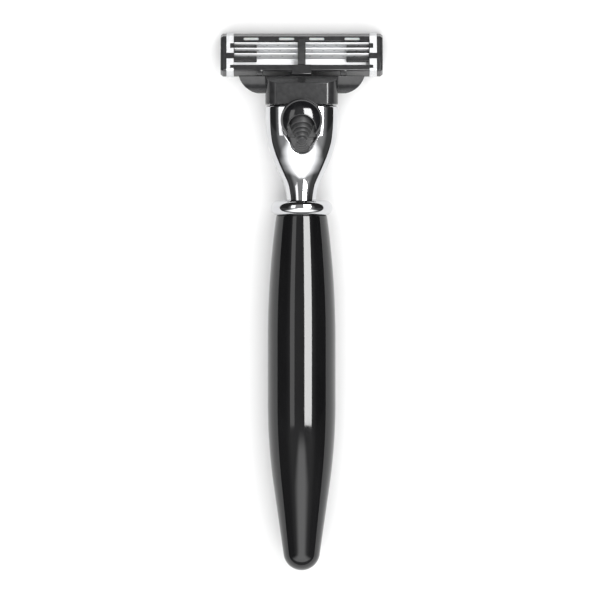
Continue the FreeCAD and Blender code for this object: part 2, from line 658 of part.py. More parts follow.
def make_blades():
    """Three blades, each welded to its own bent support that floats on the spring fingers."""
    for number in range(3):
        edge = f"blade_first + {number} * blade_pitch"
        blade = bar(f"blade_{number + 1}", [
            slope_point(edge, "0", "blade_thick / 2"), slope_point(edge, "0.3", "0"),
            slope_point(edge, "blade_long", "0"), slope_point(edge, "blade_long", "blade_thick"),
            slope_point(edge, "0.3", "blade_thick"),
        ], "-blade_half", "blade_half")
        finished(blade, f"blade_{number + 1}", UNIT)
        outer = f"{edge} + 2.2"
        inner = f"{edge} + 2.2 - steel_thick"
        bend_out = "blade_w + 2.414 * sin(blade_slope) + blade_thick * cos(blade_slope)"
        bend_in = "blade_w + 2.245 * sin(blade_slope) + (blade_thick + steel_thick) * cos(blade_slope)"
        platform = bar(f"platform_{number + 1}", [
            slope_point(edge, "0.7", "blade_thick"), (outer, bend_out), (outer, f"{bend_out} + 0.4"),
            (inner, f"{bend_out} + 0.4"), (inner, bend_in),
            slope_point(edge, "0.7", "blade_thick + steel_thick"),
        ], "-blade_half", "blade_half")
        leg = bar(f"leg_{number + 1}", [
            (inner, f"{bend_out} + 0.2"), (outer, f"{bend_out} + 0.2"), (outer, "leg_top"),
            (inner, "leg_top"),
        ], "-leg_half", "leg_half")
        finished(joined(f"blade_support_{number + 1}", [platform, leg]), f"blade_support_{number + 1}", UNIT)


def make_clips():
    """Two aluminium clips bent round the frame's waist to hold the blades' ends."""
    wall = "clip_thick"
    outline = [
        ("4.9", f"unit_deep + {wall}"), ("4.9", "unit_deep + 0.02"), ("unit_high - 1.95", "unit_deep + 0.02"),
        (f"unit_high + 0.25 - {wall}", "2.3"), (f"unit_high + 0.25 - {wall}", "0.9"),
        ("unit_high - 0.55", wall), ("1.0", wall), (f"{wall} - 0.05", "1.1"),
        (f"{wall} - 0.05", "unit_deep - 0.3"), ("0.5", "unit_deep + 0.02"), ("3.3", "unit_deep + 0.02"),
        ("3.3", f"unit_deep + {wall}"), ("0.4", f"unit_deep + {wall}"),
        ("via", "0.07", f"unit_deep + {wall} - 0.15"), ("-0.05", "unit_deep - 0.2"), ("-0.05", "1.0"),
        ("via", "0.25", "0.3"), ("0.95", "0"), ("unit_high - 0.55", "0"),
        ("via", "unit_high + 0.02", "0.23"), ("unit_high + 0.25", "0.8"), ("unit_high + 0.25", "2.4"),
        ("unit_high - 1.8", f"unit_deep + {wall}"),
    ]
    for side, low, high in both_sides("inner_half + 0.02", "clip_out - 0.02"):
        band = bar(f"clip_band_{side}", outline, low, high)
        near, far = both_sides("inner_half - 0.5", "inner_half + 0.95")[0 if side == "right" else 1][1:]
        notches = [
            box(f"clip_notch_cap_{side}", (near, far), ("6.2", "7.55"), ("unit_deep - 0.3", "unit_deep + 1")),
            box(f"clip_notch_guard_{side}", (near, far), ("0.7", "1.6"),
                ("unit_deep - 0.3", "unit_deep + 1")),
        ]
        finished(cut(f"{side}_clip", band, notches), f"{side}_clip", UNIT)


for make in (make_grip, make_insert, make_stud, make_collar, make_neck, make_post, make_plunger, make_spring,
             make_button, make_thumb_pad, make_interconnect, make_housing, make_strip, make_guard_fins,
             make_blades, make_clips):
    make()
doc.recompute()

faults = [item.Label for item in doc.Objects if {"Invalid", "Error"} & set(item.State)]
faults += [node.Label for node in NODES if node.Shape.isNull() or not node.Shape.isValid()]
if faults:
    raise RuntimeError(f"not sound: {', '.join(faults)}")
for node in NODES:
    node.Shape.exportStep(f"parts/{node.Label}.step")
    print(f"{node.Label}: {len(node.Shape.Solids)} solid, {node.Shape.Volume:.2f} mm3")
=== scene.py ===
"""Looks of the cartridge razor: resin grip, chrome neck and three-blade cartridge, back side up.

Shapes are drawn in millimetres in two local frames and placed by HANDLE and UNIT. The handle frame has
Y along the razor's axis from its tail. The unit frame has Y across the cartridge from guard to cap and
Z away from the shaved skin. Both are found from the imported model.
"""

import json
import math

import bmesh
import bpy
from mathutils import Matrix, Vector
from mathutils.bvhtree import BVHTree


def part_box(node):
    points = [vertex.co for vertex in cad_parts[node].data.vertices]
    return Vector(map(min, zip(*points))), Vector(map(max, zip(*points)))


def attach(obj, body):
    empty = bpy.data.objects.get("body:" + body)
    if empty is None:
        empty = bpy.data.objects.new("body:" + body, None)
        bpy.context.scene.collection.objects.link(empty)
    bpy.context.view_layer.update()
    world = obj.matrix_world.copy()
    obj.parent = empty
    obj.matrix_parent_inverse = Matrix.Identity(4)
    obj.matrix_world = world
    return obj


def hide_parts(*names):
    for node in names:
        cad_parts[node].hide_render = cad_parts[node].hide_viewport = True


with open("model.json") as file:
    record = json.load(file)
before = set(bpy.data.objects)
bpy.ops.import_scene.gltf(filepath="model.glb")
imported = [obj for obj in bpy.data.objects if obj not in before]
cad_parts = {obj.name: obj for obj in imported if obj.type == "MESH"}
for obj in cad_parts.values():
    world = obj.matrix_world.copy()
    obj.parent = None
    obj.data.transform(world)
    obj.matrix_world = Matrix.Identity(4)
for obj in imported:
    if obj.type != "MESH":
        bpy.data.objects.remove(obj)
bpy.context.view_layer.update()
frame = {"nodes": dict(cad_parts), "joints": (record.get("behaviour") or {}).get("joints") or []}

MM = 0.001
JOINTS = {joint["name"]: joint for joint in frame["joints"]}

# Sizes in millimetres and slopes in radians, as in the CAD model.
GRIP_LONG, GRIP_TOP_RAD, BELLY_RAD, BELLY_TOP, BELLY_LOW = 90.9, 6.5, 8.7, 59.0, 43.0
LOW_CURVE, TAIL_SLOPE = 150.0, math.radians(8.2)
INSERT_RAD, INSERT_LONG, STUD_BORE = 4.0, 11.0, 2.03
COLLAR_RAD, COLLAR_LONG, COLLAR_FLAT = 7.9, 3.9, 6.1
NECK_SECTIONS = (
    # along the axis from the tail, half width, half depth
    (94.8, 3.80, 3.75), (96.8, 4.05, 3.80), (98.8, 4.50, 3.88), (101.0, 5.50, 4.02), (103.5, 6.65, 4.36),
    (106.0, 7.65, 4.75), (109.0, 8.58, 5.17), (111.5, 9.02, 5.42), (114.5, 9.25, 5.52), (119.0, 9.30, 5.55),
)
NECK_END, END_ROUND, CAVITY_WIDE, CAVITY_DEEP, CAVITY_STEP = 119.0, 0.5, 8.3, 4.6, 113.2
OPENING_LOW, OPENING_HIGH = 1.5, 9.0
DOME_RAD, DOME_Y, DOME_LOW, DOME_HIGH, DOME_LIP = 5.4, 115.3, 5.5, 8.6, 0.35
SCOOP_RAD, SCOOP_Y, SCOOP_FLOOR = 3.65, 113.05, 4.2
PAD_Y, PAD_Z, PAD_RISE = 115.76, 4.4, math.radians(33.0)
PIVOT_SPOT = Vector((0, 1.5, 0.5))
BLADE_FIRST, BLADE_PITCH, BLADE_SLOPE, BLADE_W = 2.8, 1.5, math.radians(22.0), 0.35
BLADE_LONG, BLADE_THICK, STEEL_THICK, BLADE_HALF, LEG_HALF, LEG_TOP = 2.0, 0.1, 0.25, 18.3, 17.25, 4.7
LEG_BACK, BEND_OUT, BEND_IN, PLATFORM_START = 2.2, 2.414, 2.245, 0.7

# Fine shapes that only this model has, in millimetres.
SQUARE_START, SQUARE_RUN, SQUARE_MORE = 99.0, 10.0, 0.6
RIM_RAD, RIM_SINK, RIM_STEP = 0.17, 0.1, 0.25
HOOD_RAD, HOOD_SINK, DOME_CHAMFER = 0.15, 0.1, 0.12
RIDGE_Y, RIDGE_Z, RIDGE_RAD, RIDGE_FIRST, RIDGE_PITCH = 110.3, 3.86, 0.2, 1.35, 0.62
HONE_END, GROUND_END, PLATFORM_END = 0.12, 0.35, 2.05
WELD_LONG, WELD_WIDE, WELD_W, WELD_PITCH, WELD_START, WELD_SHIFT = 0.36, 0.16, 3.35, 2.87, 2.1, 0.55
WELDS_EACH_SIDE, WELD_LIMIT = 6, 16.3

# Edges that turn by more than this many degrees are shaded as edges.
SHARP_ANGLE = 35

collar_low, collar_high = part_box("collar_ring")
HANDLE = (Matrix.Translation((collar_low + collar_high) / 2) @ Matrix.Scale(MM, 4)
          @ Matrix.Translation((0, -GRIP_LONG - COLLAR_LONG / 2, 0)))
out_axis = Vector(JOINTS["blade_1_float"]["axis"])
UNIT = (Matrix.Translation(Vector(JOINTS["cartridge_pivot"]["pos_m"]))
        @ Matrix.Rotation(-math.atan2(out_axis.y, out_axis.z), 4, "X")
        @ Matrix.Scale(MM, 4) @ Matrix.Translation(-PIVOT_SPOT))


# ---------------------------------------------------------------- materials

def map_range(tree, value, source, target, kind="LINEAR"):
    """A node that carries a value from one span of numbers to another."""
    node = tree.nodes.new("ShaderNodeMapRange")
    node.interpolation_type = kind
    for name, number in zip(("From Min", "From Max", "To Min", "To Max"), (*source, *target)):
        node.inputs[name].default_value = number
    tree.links.new(value, node.inputs["Value"])
    return node.outputs["Result"]


class Look:
    """A procedural material on the Principled shader, in object space."""

    # The span in which nearly all of a noise lies.
    NOISE_SPAN = (0.3, 0.7)

    def __init__(self, name, **constants):
        self.material = bpy.data.materials.new(name)
        self.material.use_nodes = True
        self.tree = self.material.node_tree
        self.shader = self.tree.nodes["Principled BSDF"]
        for socket, number in constants.items():
            self.shader.inputs[socket.replace("_", " ")].default_value = number
        self.coords = self.tree.nodes.new("ShaderNodeTexCoord")

    def noise(self, size_mm, stretch=(1, 1, 1), detail=3.0):
        """Noise whose features are about size_mm across, drawn out along the axes by stretch."""
        mapping = self.tree.nodes.new("ShaderNodeMapping")
        mapping.inputs["Scale"].default_value = [1 / (MM * size_mm * part) for part in stretch]
        self.tree.links.new(self.coords.outputs["Object"], mapping.inputs["Vector"])
        texture = self.tree.nodes.new("ShaderNodeTexNoise")
        texture.inputs["Scale"].default_value = 1.0
        texture.inputs["Detail"].default_value = detail
        self.tree.links.new(mapping.outputs["Vector"], texture.inputs["Vector"])
        return texture.outputs["Fac"]

    def rough(self, factor, low, high):
        """Vary the roughness between two values."""
        varied = map_range(self.tree, factor, self.NOISE_SPAN, (low, high))
        self.tree.links.new(varied, self.shader.inputs["Roughness"])
        return self

    def tones(self, factor, dark, light):
        """Vary the colour between two tones."""
        mix = self.tree.nodes.new("ShaderNodeMix")
        mix.data_type = "RGBA"
        mix.inputs["A"].default_value = (*dark, 1)
        mix.inputs["B"].default_value = (*light, 1)
        self.tree.links.new(map_range(self.tree, factor, self.NOISE_SPAN, (0, 1)), mix.inputs["Factor"])
        self.tree.links.new(mix.outputs["Result"], self.shader.inputs["Base Color"])
        return self

    def bump(self, factor, depth_mm, strength):
        """Raise the surface by a noise."""
        node = self.tree.nodes.new("ShaderNodeBump")
        node.inputs["Strength"].default_value = strength
        node.inputs["Distance"].default_value = depth_mm * MM
        self.tree.links.new(factor, node.inputs["Height"])
        self.tree.links.new(node.outputs["Normal"], self.shader.inputs["Normal"])
        return self


def resin_look():
    """Black cast resin with a hand-polished surface."""
    look = Look("polished_resin", IOR=1.5)
    look.tones(look.noise(9.0, (1, 3, 1)), (0.0045, 0.0045, 0.005), (0.0085, 0.0085, 0.009))
    look.rough(look.noise(2.2, detail=5), 0.035, 0.085)
    return look.bump(look.noise(1.1, (1, 6, 1)), 0.001, 0.3)


def chrome_look():
    """Bright plated zinc with faint smudges and the slight ripple of polishing."""
    look = Look("plated_chrome", Metallic=1.0)
    look.tones(look.noise(5.0), (0.53, 0.535, 0.55), (0.6, 0.605, 0.615))
    look.rough(look.noise(1.6, detail=6), 0.03, 0.075)
    return look.bump(look.noise(2.4), 0.004, 0.25)


def moulded_look(name, dark, light, rough, grain_mm, depth_mm, **constants):
    """Moulded plastic or rubber with a fine grain."""
    look = Look(name, **constants)
    look.tones(look.noise(1.5, detail=5), dark, light)
    look.rough(look.noise(0.6, detail=4), *rough)
    return look.bump(look.noise(grain_mm, detail=2), depth_mm, 0.6)


def drawn_metal_look(name, dark, light, rough, along, metallic=1.0, **constants):
    """Metal strip with fine lines along the direction in which it was rolled or ground."""
    look = Look(name, Metallic=metallic, **constants)
    lines = look.noise(0.05, along, detail=4)
    look.tones(look.noise(1.2, along), dark, light)
    look.rough(lines, *rough)
    return look.bump(lines, 0.003, 0.5)


# Grain drawn out 60 times along an axis.
LONG_X, LONG_Y = (60, 1, 1), (1, 60, 1)
LOOKS = {
    "resin": resin_look(),
    "chrome": chrome_look(),
    "plastic": moulded_look("satin_black_plastic", (0.016, 0.016, 0.017), (0.026, 0.026, 0.027),
                            (0.16, 0.24), 0.12, 0.003),
    "gloss": moulded_look("gloss_black_plastic", (0.006, 0.006, 0.007), (0.012, 0.012, 0.013),
                          (0.06, 0.12), 0.5, 0.003, Coat_Weight=0.5, Coat_Roughness=0.05),
    "rubber": moulded_look("ribbed_rubber", (0.028, 0.028, 0.029), (0.048, 0.048, 0.049),
                           (0.42, 0.55), 0.09, 0.012),
    "fins": moulded_look("fin_rubber", (0.02, 0.02, 0.021), (0.035, 0.035, 0.036),
                         (0.5, 0.65), 0.08, 0.01),
    "strip": moulded_look("strip_polymer", (0.5, 0.53, 0.515), (0.6, 0.62, 0.61),
                          (0.4, 0.55), 0.2, 0.01, Subsurface_Weight=0.15, Subsurface_Scale=0.001),
    "blade": drawn_metal_look("ground_steel", (0.78, 0.79, 0.81), (0.9, 0.9, 0.91),
                              (0.14, 0.26), LONG_X, Anisotropic=0.5),
    "support": drawn_metal_look("strip_steel", (0.8, 0.81, 0.82), (0.9, 0.9, 0.91),
                                (0.3, 0.42), LONG_X, 0.4),
    "weld": drawn_metal_look("weld_steel", (0.25, 0.25, 0.26), (0.4, 0.4, 0.41),
                             (0.35, 0.5), (1, 1, 1)),
    "clip": drawn_metal_look("clip_aluminium", (0.6, 0.61, 0.62), (0.7, 0.7, 0.71),
                             (0.25, 0.4), LONG_Y, 0.5),
    "steel": drawn_metal_look("turned_steel", (0.5, 0.5, 0.52), (0.66, 0.66, 0.67),
                              (0.25, 0.4), LONG_X),
    "brass": drawn_metal_look("turned_brass", (0.6, 0.44, 0.18), (0.78, 0.6, 0.3),
                              (0.2, 0.35), LONG_X),
}


# ---------------------------------------------------------------- mesh helpers

def new_object(name, mesh):
    made = bpy.data.objects.new(name, mesh)
    bpy.context.scene.collection.objects.link(made)
    return made


def mesh_object(name, bm, place, sharp=SHARP_ANGLE):
    """Write a bmesh, moved by place, into a new object; edges above sharp degrees stay crisp."""
    bmesh.ops.recalc_face_normals(bm, faces=bm.faces)
    mesh = bpy.data.meshes.new(name)
    bm.to_mesh(mesh)
    bm.free()
    mesh.transform(place)
    mesh.shade_smooth()
    mesh.set_sharp_from_angle(angle=math.radians(sharp))
    return new_object(name, mesh)


def finished_mesh(drawn):
    """What an object's modifiers or bevel make of it, as a mesh."""
    bpy.context.view_layer.update()
    evaluated = drawn.evaluated_get(bpy.context.evaluated_depsgraph_get())
    return bpy.data.meshes.new_from_object(evaluated)


def apply_modifiers(piece, sharp=SHARP_ANGLE):
    """Replace a piece's mesh by what its modifiers make of it."""
    mesh = finished_mesh(piece)
    piece.modifiers.clear()
    piece.data = mesh
    if sharp:
        mesh.shade_smooth()
        mesh.set_sharp_from_angle(angle=math.radians(sharp))
    return piece


def flat_faces(piece):
    """Let the large faces shade flat up to their rounded edges."""
    weighting = piece.modifiers.new("flats", "WEIGHTED_NORMAL")
    weighting.keep_sharp = True
    weighting.weight = 100
    return apply_modifiers(piece, None)


def soft_edges(piece, width_mm, segments=2):
    """Round off the edges, as a mould or a tumbling drum leaves them."""
    bevel = piece.modifiers.new("edges", "BEVEL")
    bevel.width = width_mm * MM
    bevel.segments = segments
    bevel.limit_method = "ANGLE"
    bevel.angle_limit = math.radians(30)
    bevel.use_clamp_overlap = False
    return piece


def cut_by(piece, cutters):
    """Take the cutters' volumes out of a piece."""
    for cutter in cutters:
        boolean = piece.modifiers.new("cut", "BOOLEAN")
        boolean.operation = "DIFFERENCE"
        boolean.solver = "EXACT"
        boolean.object = cutter
    apply_modifiers(piece)
    for cutter in cutters:
        bpy.data.objects.remove(cutter)
    return piece


def join(piece, others):
    """Add other objects' meshes to a piece."""
    bm = bmesh.new()
    for source in [piece, *others]:
        bm.from_mesh(source.data)
    bm.to_mesh(piece.data)
    bm.free()
    for other in others:
        bpy.data.objects.remove(other)
    return piece


def dress(piece, look, body, slot, *nodes):
    """Give a finished piece its material and its body, and hide the CAD nodes that it stands for."""
    piece.data.materials.clear()
    piece.data.materials.append(LOOKS[look].material)
    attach(piece, body)
    if nodes:
        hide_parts(*nodes)
    return piece


def clean_copy(node, name):
    """A CAD node's shape as a new mesh, with its flat faces whole again."""
    bm = bmesh.new()
    bm.from_mesh(frame["nodes"][node].data)
    bmesh.ops.remove_doubles(bm, verts=bm.verts, dist=1e-6)
    bmesh.ops.dissolve_limit(bm, angle_limit=math.radians(0.4), verts=bm.verts, edges=bm.edges)
    return mesh_object(name, bm, Matrix.Identity(4))


def moulded(node, look, body, slot, width_mm, segments=2):
    """A CAD node with its edges rounded."""
    piece = flat_faces(soft_edges(clean_copy(node, f"{node}_skin"), width_mm, segments))
    return dress(piece, look, body, slot, node)


def lathe(name, profile, place, segments=128, sharp=SHARP_ANGLE):
    """Turn a profile of (radius, height) about the local Y axis."""
    bm = bmesh.new()
    rings = []
    for radius, height in profile:
        if radius < 1e-9:
            rings.append([bm.verts.new((0, height, 0))])
            continue
        angles = [2 * math.pi * step / segments for step in range(segments)]
        rings.append([bm.verts.new((radius * math.cos(a), height, radius * math.sin(a))) for a in angles])
    for ring, after in zip(rings, rings[1:] + rings[:1]):
        if len(ring) == 1 and len(after) == 1:
            continue
        for step in range(segments):
            corners = [ring[step % len(ring)], ring[(step + 1) % len(ring)],
                       after[(step + 1) % len(after)], after[step % len(after)]]
            bm.faces.new(list(dict.fromkeys(corners)))
    return mesh_object(name, bm, place, sharp)


def closed_band(bm, ring, after):
    """Faces between two closed rings of as many points."""
    for step in range(len(ring)):
        beside = (step + 1) % len(ring)
        bm.faces.new((ring[step], ring[beside], after[beside], after[step]))


def prism(name, outline, low, high, place, axis="Z", sharp=SHARP_ANGLE):
    """A closed outline drawn out along an axis of the local frame."""
    bm = bmesh.new()

    def spot(u, v, along):
        return {"Z": (u, v, along), "X": (along, u, v)}[axis]

    bottom = [bm.verts.new(spot(u, v, low)) for u, v in outline]
    top = [bm.verts.new(spot(u, v, high)) for u, v in outline]
    bm.faces.new(bottom)
    bm.faces.new(top)
    closed_band(bm, bottom, top)
    return mesh_object(name, bm, place, sharp)


def tube(name, points, radius_mm):
    """A round bead along a path in the handle frame."""
    curve = bpy.data.curves.new(name, "CURVE")
    curve.dimensions = "3D"
    curve.bevel_depth = radius_mm * MM
    curve.bevel_resolution = 6
    curve.use_fill_caps = True
    spline = curve.splines.new("POLY")
    spline.points.add(len(points) - 1)
    for point, spot in zip(spline.points, points):
        point.co = (*(HANDLE @ Vector(spot)), 1)
    drawn = new_object(f"{name}_path", curve)
    mesh = finished_mesh(drawn)
    bpy.data.objects.remove(drawn)
    mesh.shade_smooth()
    return new_object(name, mesh)


def arc(centre, radius, start, end, steps):
    """Points on an arc, with both ends, angles in degrees."""
    angles = [math.radians(start + (end - start) * step / steps) for step in range(steps + 1)]
    return [(centre[0] + radius * math.cos(a), centre[1] + radius * math.sin(a)) for a in angles]


# ---------------------------------------------------------------- handle

def grip_profile():
    """Radius and height along the grip, from its tail round to the bottom of its bore."""
    side_y = BELLY_LOW - LOW_CURVE * math.sin(TAIL_SLOPE)
    side_r = BELLY_RAD - LOW_CURVE * (1 - math.cos(TAIL_SLOPE))
    tail = (side_r * math.cos(TAIL_SLOPE) - side_y * math.sin(TAIL_SLOPE)) / (1 - math.sin(TAIL_SLOPE))
    points = []
    tail_steps, side_steps, low_steps, top_steps, lip_steps, lip = 24, 24, 24, 40, 5, 0.35
    for step in range(tail_steps + 1):
        angle = (math.pi / 2 - TAIL_SLOPE) * step / tail_steps
        points.append((tail * math.sin(angle), tail * (1 - math.cos(angle))))
    start_r, start_y = points[-1]
    for step in range(1, side_steps):
        share = step / side_steps
        points.append((start_r + (side_r - start_r) * share, start_y + (side_y - start_y) * share))
    for step in range(low_steps + 1):
        angle = TAIL_SLOPE * (1 - step / low_steps)
        points.append((BELLY_RAD - LOW_CURVE * (1 - math.cos(angle)),
                       BELLY_LOW - LOW_CURVE * math.sin(angle)))
    drop = BELLY_RAD - GRIP_TOP_RAD
    curve = ((GRIP_LONG - BELLY_TOP) ** 2 + drop ** 2) / (2 * drop)
    for step in range(top_steps + 1):
        height = BELLY_TOP + (GRIP_LONG - lip - BELLY_TOP) * step / top_steps
        points.append((BELLY_RAD - curve + math.sqrt(curve ** 2 - (height - BELLY_TOP) ** 2), height))
    rim_r = points[-1][0]
    points += [(rim_r - lip + lip * math.cos(a), GRIP_LONG - lip + lip * math.sin(a))
               for a in (math.pi / 2 * step / lip_steps for step in range(1, lip_steps + 1))]
    points += [(INSERT_RAD, GRIP_LONG), (INSERT_RAD, GRIP_LONG - INSERT_LONG),
               (0, GRIP_LONG - INSERT_LONG - INSERT_RAD / 2)]
    return points


def make_handle():
    grip = lathe("grip_skin", grip_profile(), HANDLE, 192)
    dress(grip, "resin", "handle", "black_resin", "handle_grip")
    half, bead_steps = COLLAR_LONG / 2, 36
    bead = [(COLLAR_FLAT + (COLLAR_RAD - COLLAR_FLAT) * math.sin(a), GRIP_LONG + half - half * math.cos(a))
            for a in (math.pi * step / bead_steps for step in range(bead_steps + 1))]
    collar = lathe("collar_skin", [(STUD_BORE, GRIP_LONG)] + bead + [(STUD_BORE, GRIP_LONG + COLLAR_LONG)],
                   HANDLE, 160)
    dress(collar, "chrome", "handle", "chrome", "collar_ring")


# ---------------------------------------------------------------- neck

def neck_bulge(along):
    """Exponent of the section's outline: an ellipse at the collar, squarer towards the head."""
    share = min(1.0, max(0.0, (along - SQUARE_START) / SQUARE_RUN))
    return 2.0 + SQUARE_MORE * share * share * (3 - 2 * share)


def bulged(part, exponent):
    """One coordinate of a point on an outline between an ellipse and a rectangle."""
    return math.copysign(abs(part) ** (2 / exponent), part)


def neck_size(along):
    """Half width and half depth at a place on the axis, on a smooth curve through the sections."""
    last = len(NECK_SECTIONS) - 1
    index = max(i for i in range(last) if NECK_SECTIONS[i][0] <= along)
    (s0, *a), (s1, *b) = NECK_SECTIONS[index], NECK_SECTIONS[index + 1]
    before, after = NECK_SECTIONS[max(index - 1, 0)], NECK_SECTIONS[min(index + 2, last)]
    part = (along - s0) / (s1 - s0)
    cube, square = part ** 3, part ** 2
    sizes = []
    for k in range(2):
        way_in = (b[k] - before[k + 1]) / (s1 - before[0]) * (s1 - s0)
        way_out = (after[k + 1] - a[k]) / (after[0] - s0) * (s1 - s0)
        sizes.append((2 * cube - 3 * square + 1) * a[k] + (cube - 2 * square + part) * way_in
                     + (3 * square - 2 * cube) * b[k] + (cube - square) * way_out)
    return sizes


def opening_outline():
    """The teardrop opening for the button, open at the neck's end."""
    right = [(3.9, NECK_END + 1), (3.9, 116.5), (4.25, 115.3), (4.72, 114.2), (4.96, 113.2), (4.96, 112.2),
             (4.55, 111.4), (3.33, 109.6)]
    end = arc((0, 109.81), 3.31, -32, -148, 24)
    return right + end + [(-x, y) for x, y in reversed(right)]


def neck_body():
    """The neck's solid outside, from the collar to its rounded end."""
    around, along, end_steps = 160, 120, 8
    start = NECK_SECTIONS[0][0]
    stations = [(start + (NECK_END - END_ROUND - start) * step / along, 0.0) for step in range(along + 1)]
    for step in range(1, end_steps + 1):
        turn = math.pi / 2 * step / end_steps
        height = NECK_END - END_ROUND + END_ROUND * math.sin(turn)
        stations.append((height, END_ROUND * (1 - math.cos(turn))))
    bm = bmesh.new()
    rings = []
    for height, drop in stations:
        half_x, half_z = neck_size(height)
        power = neck_bulge(height)
        angles = [2 * math.pi * turn / around for turn in range(around)]
        rings.append([bm.verts.new(((half_x - drop) * bulged(math.cos(a), power), height,
                                    (half_z - drop) * bulged(math.sin(a), power))) for a in angles])
    for ring, after in zip(rings, rings[1:]):
        closed_band(bm, ring, after)
    bm.faces.new(rings[0])
    bm.faces.new(rings[-1])
    return mesh_object("neck_skin", bm, HANDLE)


def make_neck():
    skin = neck_body()
    rim = neck_rim(skin)
    inset, steps = 0.1, 64
    oval = [((CAVITY_WIDE - inset) * math.cos(a), -(CAVITY_DEEP - inset) * math.sin(a))
            for a in (2 * math.pi * step / steps for step in range(steps))]
    along_axis = HANDLE @ Matrix.Rotation(-math.pi / 2, 4, "X")
    hollow = prism("cavity", oval, CAVITY_STEP, NECK_END + 1, along_axis)
    cut_by(skin, [prism("opening", opening_outline(), OPENING_LOW, OPENING_HIGH, HANDLE), hollow])
    join(skin, [rim])
    dress(skin, "chrome", "handle", "chrome", "neck_casting")


def neck_rim(skin):
    """A rounded lip that follows the opening's edge over the neck's surface."""
    surface = BVHTree.FromPolygons([v.co for v in skin.data.vertices],
                                   [p.vertices for p in skin.data.polygons])
    down, well_above = Vector((0, 0, -1)), 30
    outline = [(x, min(y, NECK_END - END_ROUND)) for x, y in opening_outline()]
    path = []
    for (x0, y0), (x1, y1) in zip(outline, outline[1:]):
        steps = max(1, round(math.dist((x0, y0), (x1, y1)) / RIM_STEP))
        path += [(x0 + (x1 - x0) * k / steps, y0 + (y1 - y0) * k / steps) for k in range(steps)]
    path.append(outline[-1])
    spots = []
    for x, y in path:
        hit = surface.ray_cast(HANDLE @ Vector((x, y, well_above)), down)[0]
        spots.append(HANDLE.inverted() @ (hit + down * RIM_SINK * MM))
    return tube("neck_rim", spots, RIM_RAD)


# ---------------------------------------------------------------- button

def dome_height(radius):
    """Height of the dome's skin at a distance from its middle."""
    share = math.sqrt(max(0, 1 - (radius / DOME_RAD) ** 2))
    return DOME_LOW + DOME_LIP + (DOME_HIGH - DOME_LOW - DOME_LIP) * share


def make_hood():
    """The glossy dome, scooped open towards the tail, with a lip round the scoop."""
    steps, middle = 40, (0, DOME_Y)
    profile = [(0, DOME_LOW), (DOME_RAD - DOME_CHAMFER, DOME_LOW), (DOME_RAD, DOME_LOW + DOME_CHAMFER)]
    profile += [(DOME_RAD * math.cos(a), dome_height(DOME_RAD * math.cos(a)))
                for a in (math.pi / 2 * step / steps for step in range(steps + 1))]
    profile[-1] = (0, DOME_HIGH)
    upright = Matrix.Rotation(math.pi / 2, 4, "X")
    dome = lathe("button_dome", profile, HANDLE @ Matrix.Translation((0, DOME_Y, 0)) @ upright)
    mouth = DOME_Y - DOME_RAD - 1
    scoop = [(SCOOP_RAD, mouth), *arc((0, SCOOP_Y), SCOOP_RAD, 0, 180, steps), (-SCOOP_RAD, mouth)]
    cut_by(dome, [prism("scoop", scoop, SCOOP_FLOOR, DOME_HIGH + 1, HANDLE)])
    edge = [point for point in scoop if math.dist(point, middle) < DOME_RAD - 0.02]
    path = [(*point, dome_height(math.dist(point, middle)) - HOOD_SINK) for point in edge]
    join(dome, [tube("hood_rim", path, HOOD_RAD)])
    dress(dome, "gloss", "button", "gloss_black_plastic")


def make_button_body():
    """The rest of the button, as in the CAD model, without its dome."""
    body = soft_edges(clean_copy("release_button", "button_body"), 0.08)
    apply_modifiers(body, 50)
    around_dome = arc((0, DOME_Y), DOME_RAD + 1, 0, 360, 48)[:-1]
    cut_by(body, [prism("dome_room", around_dome, DOME_LOW - 0.02, DOME_HIGH + 1, HANDLE)])
    dress(body, "plastic", "button", "gloss_black_plastic", "release_button")


def make_thumb_pad():
    """Ribbed pad: round-edged discs that step down along an axis rising to the tail, on a ramp."""
    discs = (
        # start, end and radius
        (0.0, 3.0, 2.9), (3.0, 4.25, 2.5), (4.25, 5.2, 2.1), (5.2, 6.3, 1.6), (6.3, 6.95, 1.15),
    )
    profile = [(0, 0)]
    lip = 0.2
    for low, high, radius in discs:
        profile += [(radius - lip * 1.6, low), (radius - lip * 0.5, low + lip * 0.3), (radius, low + lip),
                    (radius, high - lip), (radius - lip * 0.3, high - lip * 0.3), (radius - lip, high)]
    top, narrow = discs[-1][1:]
    profile.append((0, top))
    place = HANDLE @ Matrix.Translation((0, PAD_Y, PAD_Z)) @ Matrix.Rotation(math.pi - PAD_RISE, 4, "X")
    pad = lathe("pad_discs", profile, place, 72, 60)
    inset = 0.1
    ramp_end = PAD_Y - top * math.cos(PAD_RISE) + inset
    ramp_top = PAD_Z + top * math.sin(PAD_RISE) - inset
    ramp = prism("pad_ramp", [(PAD_Y, SCOOP_FLOOR), (PAD_Y, PAD_Z), (ramp_end, ramp_top),
                              (ramp_end, SCOOP_FLOOR)], -narrow, narrow, HANDLE, "X")
    side, ahead = 5, 15
    floor = [(-side, DOME_Y - ahead), (side, DOME_Y - ahead),
             (side, DOME_Y + ahead), (-side, DOME_Y + ahead)]
    cut_by(pad, [prism("pad_floor", floor, 0, SCOOP_FLOOR, HANDLE)])
    dress(join(pad, [ramp]), "rubber", "button", "soft_black", "thumb_pad")


def make_tongue():
    """Curved ridges across the tongue below the pad."""
    ridges = []
    for number in range(4):
        radius, side = RIDGE_FIRST + RIDGE_PITCH * number, 62 - 9 * number
        path = arc((0, RIDGE_Y), radius, -90 - side, -90 + side, 24)
        ridges.append(tube(f"ridge_{number}", [(x, y, RIDGE_Z) for x, y in path], RIDGE_RAD))
    dress(join(ridges[0], ridges[1:]), "rubber", "button", "soft_black")


def make_button():
    make_hood()
    make_button_body()
    make_thumb_pad()
    make_tongue()


# ---------------------------------------------------------------- cartridge

